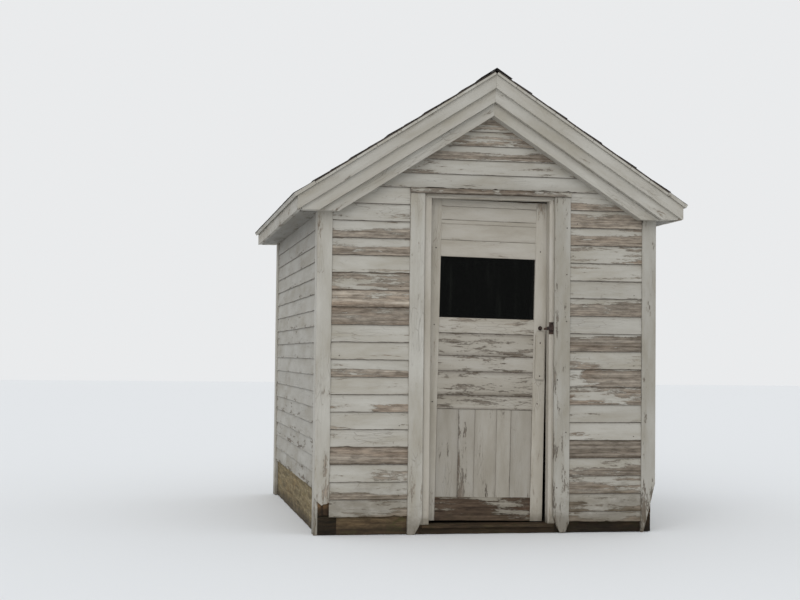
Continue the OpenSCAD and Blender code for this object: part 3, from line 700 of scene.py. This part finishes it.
def make_walls(m):
    """Marks hold mean wear, wear of the lower edge, tone, and patches: spans along, spans up, strength."""
    left_marks = {
        0: (0.25, 0.3, 0, (0.6, 0.75, 0.6, 1, 0.24), (0.85, 1, 0, 0.5, 0.2)),
        1: (0.23, 0.18, 0.2, (0.08, 0.45, 0, 0.28, 0.44), (0.62, 1, 0, 0.2, 0.32)),
        2: (0.23, 0.1, 0.4, (0.64, 0.76, 0.15, 0.6, 0.28), (0.9, 0.97, 0.2, 0.5, 0.22)),
        3: (0.7, 0.05, -0.2),
        6: (0.23, 0.1, 0.2, (0.62, 1, 0, 0.35, 0.38)),
        8: (0.24, 0.1, 0, (0, 1, 0, 0.32, 0.36)),
        11: (0.56, 0.05, -0.6, (0, 0.5, 0, 1, 0.15)),
        12: (0.62, 0, 1.2),
        13: (0.47, 0, 0.3),
        15: (0.24, 0.08, 0, (0, 1, 0, 0.45, 0.36)),
        16: (0.24, 0.08, -0.2, (0, 1, 0, 0.45, 0.38)),
        17: (0.27, 0.12, 0),
    }
    right_marks = {
        0: (0.27, 0.28, -0.4, (0, 0.12, 0, 1, 0.16)),
        1: (0.26, 0.24, -0.6, (0.62, 1, 0, 0.25, 0.26), (0, 0.2, 0, 0.5, 0.16)),
        2: (0.3, 0.2, -0.4, (0.3, 0.9, 0.1, 0.55, 0.18), (0, 0.15, 0, 0.6, 0.16)),
        3: (0.3, 0.1, -0.8, (0.3, 1, 0, 0.4, 0.24)),
        4: (0.72, 0.05, -1),
        5: (0.22, 0.12, 0),
        7: (0.42, 0.08, -0.2),
        8: (0.27, 0.08, -0.5, (0.28, 1, 0, 0.85, 0.36)),
        9: (0.24, 0.08, 0, (0, 0.35, 0, 0.4, 0.26)),
        10: (0.27, 0.08, -1.1, (0, 1, 0, 0.78, 0.44)),
        12: (0.27, 0.08, -0.7, (0, 0.4, 0, 0.62, 0.44), (0.6, 1, 0, 0.62, 0.44)),
        14: (0.28, 0.08, 0),
        15: (0.38, 0.05, -0.2),
        16: (0.28, 0.08, -0.2, (0, 1, 0, 0.55, 0.36)),
        17: (0.3, 0.08, 0.2, (0, 1, 0, 0.72, 0.36)),
        18: (0.27, 0.08, 0, (0, 1, 0, 0.35, 0.3)),
    }
    gable_marks = {
        1: (0.28, 0.12, -0.5),
        2: (0.27, 0.05, -0.5, (0, 1, 0.12, 0.5, 0.36)),
        3: (0.46, 0.05, 0.7),
        4: (0.46, 0.05, 0.4),
    }
    low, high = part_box("door_casings")

    def left_end(z):
        return max(-field_x, -under_roof(z))

    def right_end(z):
        return min(field_x, under_roof(z))

    for node, begin, end, marks, plain_tone in (
            ("front_siding_left", left_end, lambda z: low.x, left_marks, 0.9),
            ("front_siding_right", lambda z: high.x, right_end, right_marks, -1.3),
            ("front_gable_siding", lambda z: -under_roof(z), under_roof, gable_marks, -0.9)):
        lap_wall(m, node, (0, front), X, -Y, begin, end, marked_wear(marks, plain_tone))
    lap_wall(m, "rear_siding", (0, -front), X, Y, left_end, right_end, rear_wear,
             breaks=(0.31, None, -0.42, None, 0.0))
    side_end = half_d - side_strip_w
    for node, out in (("left_siding", -X), ("right_siding", X)):
        lap_wall(m, node, (out.x * half_w, 0), Y, out, lambda z: -side_end, lambda z: side_end, side_wear_and_shade,
                 breaks=(0.45, None, -0.35, None, 0.1), grime_and_shade=0.5)


def make_corner_boards(m):
    """Boards that run down from the eave. The left front one has rotted off and the right one is broken."""
    width = corner_x - field_x
    for name, facing in (("front_corner_boards", -1), ("rear_corner_boards", 1)):
        piece = Piece("corner_boards_of_" + name.split("_")[0])
        for side in (-1, 1):
            rotten = facing < 0 and side < 0
            broken = facing < 0 and side > 0

            def foot(w):
                if rotten:
                    return eave_z - rot_h + rot_slope * np.interp(w / width, (0, 0.5, 1), (0, 1, -1))
                if broken:
                    return eave_z - break_h * max(0.0, (w - width + break_w) / break_w)
                return eave_z

            board(piece, (side * field_x, facing * half_d, eave_z), -Z, X * side, Y * facing,
                  plank(width, board_t, 0.002, 8), 0, foot, wear=0.22, edge_wear=0.06, end_wear=0.08,
                  tone=-2.4 if broken else 0.4, patches=((0.93, 1, 0, 1, 0.1),), step=0.04, bow=0.001,
                  chip=0.004, ragged=0.03 if rotten or broken else 0.004)
            board(piece, (side * half_w, facing * half_d, eave_z), -Z, -Y * facing, X * side,
                  plank(side_strip_w, board_t, 0.002, 6), 0, eave_z - (break_h if broken else 0.0), wear=0.22,
                  edge_wear=0.08, end_wear=0.2, tone=0.0, step=0.04, bow=0.001, chip=0.003, ragged=0.02)
        make_trim(m, piece, name)


# Roof and gable trim

def slope_axes(side):
    """Directions down one slope of the roof and square to it."""
    return Vector((side * cos_p, 0, -sin_p)), Vector((side * sin_p, 0, cos_p))


def sloping_board(piece, side, y, out, lower_z, width, thickness, x_end, wear, edge_wear=0.05):
    """A board along one gable slope. It is cut plumb at the ridge, and plumb and level at the eave."""
    down, normal = slope_axes(side)

    def start(w):
        return -w * sin_p / cos_p

    def stop(w):
        plumb = (x_end - w * sin_p) / cos_p
        flat = (lower_z + w * cos_p - eave_z) / sin_p
        return min(plumb, flat)

    board(piece, (0, y, lower_z), down, normal, out, plank(width, thickness, rows=10), start, stop,
          wear=wear, edge_wear=edge_wear, end_wear=0.08, step=0.04, chip=0.0025)


def make_gable_trim(m):
    """Fascia and frieze boards, and the backing boards between them, which the solids leave out."""
    for facing, end in ((-1, "front"), (1, "rear")):
        out = Y * facing
        rake = Piece("rake_boards_" + end)
        frieze = Piece("frieze_boards_" + end)
        backing = Piece("rake_backing_" + end)
        rake_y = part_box(end + "_rake_fascia")[0 if facing > 0 else 1].y
        wall_y = facing * half_d
        first_y, second_y = wall_y + out.y * board_t, wall_y + out.y * 2 * board_t
        fascia_z, upper_z, lower_z = (
            deck_under - width / cos_p for width in (rake_w, upper_frieze_w, lower_frieze_w))
        for side in (-1, 1):
            sloping_board(rake, side, rake_y, out, fascia_z, rake_w, board_t, fascia_x, 0.18)
            sloping_board(frieze, side, wall_y, out, lower_z, lower_frieze_w, board_t, fascia_in, 0.22)
            sloping_board(frieze, side, first_y, out, upper_z, upper_frieze_w, board_t, fascia_in, 0.2, 0.08)
            sloping_board(backing, side, second_y, out, upper_z, upper_frieze_w, upper_backing_t, fascia_in,
                          0.17)
            sloping_board(backing, side, first_y, out, lower_z, lower_frieze_w - upper_frieze_w,
                          lower_backing_t, fascia_in, 0.17)
        make_trim(m, rake, end + "_rake_fascia")
        make_trim(m, frieze, end + "_frieze")
        make_trim(m, backing)


def make_eaves(m):
    worn = 0.002
    fascia, soffit = Piece("eave_boards"), Piece("soffit_boards")
    low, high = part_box("eave_fascias")
    soffit_low, soffit_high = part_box("eave_soffits")
    for side in (-1, 1):
        outer = high.z - (fascia_x - fascia_in) * slope - eave_z
        inner = high.z - eave_z
        outline = [(0, 0), (inner, 0), (outer, board_t), (worn, board_t), (0, board_t - worn)]
        board(fascia, (side * fascia_in, 0, eave_z), Y, Z, X * side, outline, low.y, high.y,
              wear=0.26, edge_wear=0.1, end_wear=0.1, chip=0.003)
        # The soffit boards are painted much darker: painted shade under the eave.
        board(soffit, (side * half_w, 0, soffit_high.z), Y, X * side, -Z,
              plank(fascia_in - half_w, soffit_high.z - soffit_low.z, 0.001, 2), soffit_low.y, soffit_high.y,
              wear=0.28, edge_wear=0.1, step=0.06, tone=-8.5)
    make_trim(m, fascia, "eave_fascias")
    make_trim(m, soffit, "eave_soffits")


def make_roof(m):
    _, (high_x, rake_y, ridge_z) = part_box("shingles_right")
    eave_inset = 0.0025
    shingle_x = high_x - eave_inset
    deck_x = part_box("roof_boards_right")[1].x
    deck_rows = 10
    painted_t, felt_t = 0.013, 0.0025
    tab, tab_gap, head_lap, first_tab, least_tab = 0.305, 0.006, 0.006, 0.05, 0.01
    slope_length = shingle_x / cos_p
    courses = round(shingle_x / (exposure * cos_p))
    step = slope_length / courses
    edges = Piece("painted_roof_edges")
    for side, word in ((-1, "left"), (1, "right")):
        down, normal = slope_axes(side)
        up = -down

        def on_roof(depth, x):
            return Vector((side * x, 0, ridge_z - depth / cos_p - slope * x))

        deck = Piece("roof_deck_" + word)
        width = deck_x / cos_p / deck_rows
        whole = plank(width - seam, deck_t - close, 0.001)
        painted = plank(width - seam, painted_t, 0.001)
        unpainted = plank(width - seam, deck_t - painted_t - close, 0.0005)
        for row in range(deck_rows):
            origin = on_roof(shingle_t + deck_t, deck_x) + up * (row * width)
            if row == 0:
                board(edges, origin, Y, up, normal, whole, -rake_y, rake_y, wear=0.24, bow=0.0, tone=-0.6)
                continue
            board(deck, origin, Y, up, normal, whole, -half_d, half_d, step=0.25, bow=0.0)
            for start, stop in ((-rake_y, -half_d), (half_d, rake_y)):
                board(edges, origin, Y, up, normal, painted, start, stop, wear=0.2, bow=0.0, tone=0.5)
                board(deck, origin + normal * painted_t, Y, up, normal, unpainted, start, stop, step=0.25,
                      bow=0.0)
        deck.make(m["deck"], "root", "grey_wood", "roof_boards_" + word)

        cover = Piece("shingle_courses_" + word)
        board(cover, on_roof(shingle_t, shingle_x) + up * seam, Y, up, normal,
              plank(slope_length - seam, felt_t, 0.0005), -rake_y + seam, rake_y - seam, step=0.4, bow=0.0,
              tone=-0.6)
        lift = shingle_t - felt_t - 0.0012
        for row in range(courses):
            origin = on_roof(shingle_t - felt_t, shingle_x) + up * (row * step)
            top = min(step + head_lap, slope_length - row * step)
            y = -rake_y - (tab / 2 if row % 2 else 0.0) + first_tab
            while y < rake_y:
                left, right = max(y, -rake_y), min(y + tab - tab_gap, rake_y)
                if right - left > least_tab:
                    butt = lift * rng.uniform(0.72, 1.0)
                    slip = rng.uniform(0.0, 0.004)
                    wedge = [(slip, 0), (top, 0), (top, 0.0006), (slip + 0.0015, butt), (slip, butt - 0.001)]
                    board(cover, origin, Y, up, normal, wedge, left, right, step=0.06, bow=0.0,
                          chip=0.0025, tone=rng.uniform(-1, 1))
                y += tab
        cover.make(m["shingle"], "root", "shingles", "shingles_" + word)

    make_trim(m, edges)

    cap = Piece("ridge_caps")
    pieces = 21
    run = 2 * rake_y / pieces
    cap_w, cap_t = 0.094 / cos_p, 0.0016
    for number in range(pieces):
        tone = rng.uniform(-1, 1)
        for side in (-1, 1):
            down, normal = slope_axes(side)
            tilt = (Y * run + normal * cap_t).normalized()
            origin = Vector((0, -rake_y + number * run, ridge_z)) + normal * 0.0002
            outline = [(0, 0), (cap_w, 0), (cap_w, cap_t), (0, 0.0020)]
            board(cap, origin, tilt, down, normal, outline, 0, run - 0.0004, bow=0.0, tone=tone)
    cap.make(m["shingle"], "root", "shingles", "ridge_cap")


# Doorway

def make_doorway(m):
    casing = Piece("casing_boards")
    hinge_side, latch_side = solids("door_casings")

    top = hinge_side[1].z
    rot, far_rot = 0.10, 0.06

    def left_foot(w):
        sound, spread = 0.45, 0.41
        return top - rot * max(0.0, w / left_w - sound) ** 1.5 / spread

    def right_foot(w):
        low, high = 0.38, 0.75
        share = w / right_w
        return top - rot * max(0.0, low - share) / low - far_rot * max(0.0, share - high) / (1 - high)

    left_w, right_w = (high.x - low.x for low, high in (hinge_side, latch_side))
    for (low, _), width, foot, wear, tone in (
            (hinge_side, left_w, left_foot, 0.22, 0.5),
            (latch_side, right_w, right_foot, 0.26, -2.2)):
        board(casing, (low.x, front, top), -Z, X, -Y, plank(width, board_t, 0.0025, 10), 0, foot,
              wear=wear, edge_wear=0.08, end_wear=0.06, tone=tone, step=0.03, chip=0.003, ragged=0.012,
              patches=((0.95, 1, 0, 1, 0.12),))
    make_trim(m, casing, "door_casings")

    drip = Piece("weathered_drip_board")
    low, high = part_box("drip_board")
    # Darker towards its edges, most along its top.
    board(drip, (0, front, low.z), X, Z, -Y, plank(high.z - low.z, front - low.y, 0.004, 3),
          low.x, high.x, wear=0.53, edge_wear=0.12, tone=-0.8, step=0.02, bow=0.002, chip=0.007,
          edge_shade_and_dirt=(0.05, 0.25, 0.9))
    drip.make(m["trim"], "root", "grey_wood", "drip_board")

    jambs = Piece("jamb_boards")
    low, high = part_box("door_jambs")
    jamb_t, stop_gap = 0.020, 0.006
    stop_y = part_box("door_stiles")[0].y - stop_gap
    jamb_x = high.x - jamb_t
    depth = high.y - low.y
    head_z = high.z - jamb_t
    tall = head_z - low.z
    # The jambs and stops are painted lighter with positive tones: painted light that lifts the shade of the
    # recess they stand in.
    for side in (-1, 1):
        board(jambs, (side * high.x, high.y, low.z), Z, -Y, -X * side,
              plank(depth, jamb_t, 0.001, 2), 0, tall, wear=0.14, end_wear=0.2, tone=0.8)
    board(jambs, (0, high.y, high.z), X, -Y, -Z, plank(depth, jamb_t, 0.001, 2), -high.x, high.x,
          wear=0.14, step=0.08, tone=0.8)
    for side, wide in ((-1, hinge_stop_w), (1, latch_stop_w)):
        board(jambs, (side * jamb_x, stop_y, low.z), Z, -X * side, -Y,
              plank(wide, stop_y - front, 0.0015, 2), 0, tall, wear=0.12, end_wear=0.2, tone=1.4)
    board(jambs, (0, stop_y, head_z), X, -Z, -Y, plank(head_stop_w, stop_y - front, 0.001),
          -jamb_x, jamb_x, wear=0.2, tone=1.0)
    jambs.make(m["door"], "root", "trim_paint", "door_jambs")

    sill = Piece("worn_threshold")
    low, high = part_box("threshold")
    nose = hinge_side[1].x
    for x, y, depth in ((low.x, front, high.y - front), (nose, low.y, front - low.y)):
        beam(sill, (x, y, low.z), X, Y, Z, depth, high.z - low.z, -2 * x, 0.003, step=0.03, tone=-0.5)
    sill.make(m["sill"], "root", "grey_wood", "threshold")


# Door, drawn upright and then leaned about its hinges

def door_frame():
    joint = frame["joints"][0]
    place, axis = Vector(joint["pos_m"]), Vector(joint["axis"])
    turn = Matrix.Rotation(math.atan2(axis.x, axis.z), 4, "Y")
    return Matrix.Translation(place) @ turn @ Matrix.Translation(-place)


def make_door(m):
    lean = door_frame()
    upright = lean.inverted()
    stiles = solids("door_stiles", upright)
    rails, panels = (sorted(solids(name, upright), key=lambda pair: pair[0].z)
                     for name in ("door_rails", "door_panels"))
    back = stiles[0][1].y
    thick = back - stiles[0][0].y

    def hang(piece, node):
        piece.make(m["door"], "door", "door_paint", node, lean=lean)

    piece = Piece("stile_boards")
    for low, high in stiles:
        board(piece, (low.x, back, low.z), Z, X, -Y, plank(high.x - low.x, thick, 0.002, 4), 0,
              high.z - low.z, wear=0.22, edge_wear=0.05, end_wear=0.12, step=0.03, chip=0.002, tone=1.4)
    hang(piece, "door_stiles")

    piece = Piece("rail_boards")
    foot = Piece("foot_rail")
    foot_patches = ((0, 1, 0.9, 1, -0.22), (0.66, 0.95, 0.2, 0.7, -0.26))
    # The rails are darker along their edges: dirt, and painted shade in the joints with the panels.
    for number, (low, high) in enumerate(rails):
        wear = (0.68, 0.38, 0.36, 0.20, 0.16)[number]
        tone = (-0.5, -1.6, 0.0, 0.0, 0.4)[number]
        target = piece if number else foot
        board(target, (low.x, back, low.z), X, Z, -Y, plank(high.z - low.z, thick, 0.002, 6), 0,
              high.x - low.x, wear=wear, edge_wear=0.06, step=0.02, chip=0.002, tone=tone,
              patches=() if number else foot_patches, edge_shade_and_dirt=(0.09, 0.09, 0.8 if number == 1 else 0.0))
    hang(piece, "door_rails")
    foot.make(m["kick"], "door", "door_paint", lean=lean)

    piece = Piece("panel_boards")
    # Each panel: its number, wear, tone, edge darkening (dirt, and painted shade in the joints) and the
    # shares of its height.
    level = ((2, 0.16, -0.2, 0.25, (0, 0.48, 0.6, 1)), (1, 0.38, -1.5, 1.0, (0, 0.386, 0.632, 1)))
    for number, wear, tone, grime_and_shade, shares in level:
        low, high = panels[number]
        for first, last in zip(shares, shares[1:]):
            z0, z1 = (low.z + (high.z - low.z) * share for share in (first, last))
            board(piece, (low.x, high.y, z0), X, Z, -Y, plank(z1 - z0, high.y - low.y, 0.003, 6), 0,
                  high.x - low.x, wear=wear, edge_wear=0.06, step=0.02, chip=0.002, tone=tone,
                  edge_shade_and_dirt=(0.05, 0.05, grime_and_shade))
    low, high = panels[0]
    shares = (0, 0.23, 0.4, 0.63, 0.78, 1)
    streaks = ((0, 0.34, 0.1, 0.4, 0.3), (0.5, 0.72, 0.1, 0.4, 0.28), (0.1, 0.9, 0, 0.1, 0.16))
    tones = (-4.0, -3.4, -2.6, -2.4, -3.6)
    # The lower panel's boards are a little darker along their edges: dirt, and painted shade in the joints.
    for number, (first, last, tone) in enumerate(zip(shares, shares[1:], tones)):
        x0, x1 = (low.x + (high.x - low.x) * share for share in (first, last))
        board(piece, (x0, high.y, low.z), Z, X, -Y, plank(x1 - x0, high.y - low.y, 0.003, 6), 0,
              high.z - low.z, wear=0.2, edge_wear=0.03, end_wear=0.08, step=0.03, tone=tone,
              patches=streaks if number == 1 else (), edge_shade_and_dirt=(0.04, 0.04, 0.3))
    hang(piece, "door_panels")

    beads = Piece("glazing_beads")
    low, high = solids("window_beads", upright)[0]
    wide, deep = 0.012, high.y - low.y
    outline = plank(wide, deep, 0.003)
    for z in (low.z, high.z - wide):
        board(beads, (low.x, low.y, z), X, Z, Y, outline, 0, high.x - low.x, wear=0.35, step=0.04)
    for x in (low.x, high.x - wide):
        board(beads, (x, low.y, low.z), Z, X, Y, outline, wide, high.z - low.z - wide, wear=0.35, step=0.04)
    hang(beads, "window_beads")

    patch = Piece("patch_block")
    low, high = solids("door_patch", upright)[0]
    radius = (high.x - low.x) / 2

    def head(w):
        return high.z - low.z - radius + math.sqrt(max(0.0, radius ** 2 - (w - radius) ** 2))

    board(patch, (low.x, high.y, low.z), Z, X, -Y, plank(2 * radius, high.y - low.y, 0.002, 12),
          0, head, wear=0.22, edge_wear=0.1, step=0.03, tone=0.6)
    hang(patch, "door_patch")

    nails = Piece("door_nails")
    for rise in (0.02, 0.22):
        nail(nails, (radius + low.x, low.y, low.z + rise), -Y, 0.0045)
    from_edge = 0.03
    for rail_low, rail_high in rails[1:4]:
        for x in (stiles[0][1].x - from_edge, stiles[1][0].x + from_edge):
            nail(nails, (x, stiles[0][0].y, (rail_low.z + rail_high.z) / 2), -Y)
    nails.make(m["iron"], "door", "rusty_iron", lean=lean)


# Foundations, floor and nails

def make_base(m):
    ends, sides = Piece("rotting_end_sills"), Piece("weathered_side_sills")
    door_low, door_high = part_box("threshold")
    (front_low, front_high), (rear_low, rear_high) = solids("end_sills")
    depth = front_high.y - front_low.y
    rotten_w = 0.09
    rot_x = front_low.x + board_t + rotten_w
    for x0, x1, height, tone in (
            (front_low.x, rot_x, front_high.z, -3.2),
            (rot_x, door_low.x, front_high.z, 1.8),
            (door_low.x, door_high.x, door_low.z, -1.0),
            (door_high.x, front_high.x, front_high.z, -2.8)):
        beam(ends, (x0, front_low.y, 0), X, Y, Z, depth, height, x1 - x0, 0.008, tone=tone)
    beam(ends, (rear_low.x, rear_low.y, 0), X, Y, Z, depth, rear_high.z, 2 * half_w, 0.008)
    ends.make(m["sill"], "root", "sill_wood", "end_sills")
    for low, high in solids("side_sills"):
        beam(sides, (low.x, low.y, 0), Y, X, Z, high.x - low.x, high.z, high.y - low.y, 0.006)
    sides.make(m["side_sill"], "root", "sill_wood", "side_sills")

    floor = Piece("floor_boards")
    low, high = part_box("floor")
    rows = 17
    width = (high.y - low.y) / rows
    for row in range(rows):
        board(floor, (0, low.y + row * width, low.z), X, Y, Z,
              plank(width - seam, high.z - low.z, 0.002), low.x, high.x, step=0.12, bow=0.0004)
    floor.make(m["grey"], "root", "grey_wood", "floor")


def make_nails(m):
    """Rusty heads where the paint has come off; the others are painted over."""
    nails = Piece("nail_heads")
    low, high = solids("door_casings")[1]
    lowest, spacing, proud = 0.3, 0.31, 0.0002
    for z in np.arange(lowest, high.z, spacing):
        x = low.x + (0.02 if rng.uniform() < 0.4 else 0.075)
        nail(nails, (x, low.y - proud, z + rng.uniform(-0.06, 0.06)), -Y)
    every, clear, raised = 4, 0.05, 0.0001
    for side, name in ((-1, "front_siding_left"), (1, "front_siding_right")):
        for low_edge in course_edges(name, -Y)[1:-1:every]:
            x = rng.choice((0.54, 0.9))
            if x < under_roof(low_edge) - clear:
                nail(nails, (side * x, front - butt_t - raised, low_edge + board_t), -Y, 0.003)
    nails.make(m["iron"], "root", "rusty_iron")


make_camera()
make_world()
make_lamps()
make_floor()
materials = make_materials()
for make in (make_walls, make_corner_boards, make_gable_trim, make_eaves, make_roof, make_doorway, make_door,
             make_base, make_nails):
    make(materials)
dress(materials["frame_z"], "corner_posts", "front_studs", "rear_studs", "side_studs")
dress(materials["frame_x"], "end_plates", "rafters")
dress(materials["frame_y"], "side_plates", "ridge_board", "floor_sleepers")
dress(materials["iron"], "hinge_leaves", "latch_keeper", "door_straps", "door_latch")
dress(materials["glass"], "door_window")

scene.view_settings.view_transform = "Standard"
